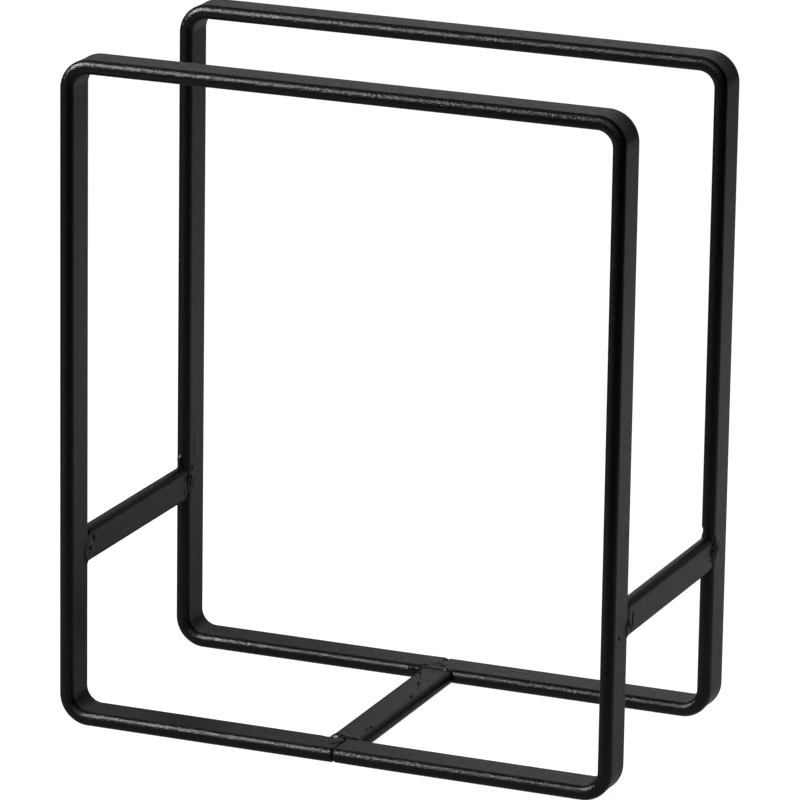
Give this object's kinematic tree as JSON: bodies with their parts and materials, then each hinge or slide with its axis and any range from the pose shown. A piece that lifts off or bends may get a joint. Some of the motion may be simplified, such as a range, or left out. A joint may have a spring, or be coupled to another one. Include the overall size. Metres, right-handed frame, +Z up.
{
  "type": "firewood log rack",
  "caption": "Open indoor firewood rack: flat oval steel tube loops standing in line, joined by short welded cross bars at the sides and the bottom, in black powder coat.",
  "frame": {"origin": "on the floor, under the middle of the rack", "axes": "+Z up, +X to the right along a loop's width, +Y from the front loop to the rear loop"},
  "size_m": [0.403, 0.22, 0.462],
  "materials": {
    "powder_coated_tube": "satin black powder coat with a fine orange peel, on steel tube",
    "powder_coated_weld": "the same black powder coat over rippled weld metal, a little glossier where it ran thin"
  },
  "bodies": {
    "root": {"front_loop": "powder_coated_tube", "rear_loop": "powder_coated_tube", "left_side_bar": "powder_coated_tube", "right_side_bar": "powder_coated_tube", "bottom_bar": "powder_coated_tube", "left_front_weld": "powder_coated_weld", "left_rear_weld": "powder_coated_weld", "right_front_weld": "powder_coated_weld", "right_rear_weld": "powder_coated_weld", "bottom_front_weld": "powder_coated_weld", "bottom_rear_weld": "powder_coated_weld"}
  },
  "joints": []
}
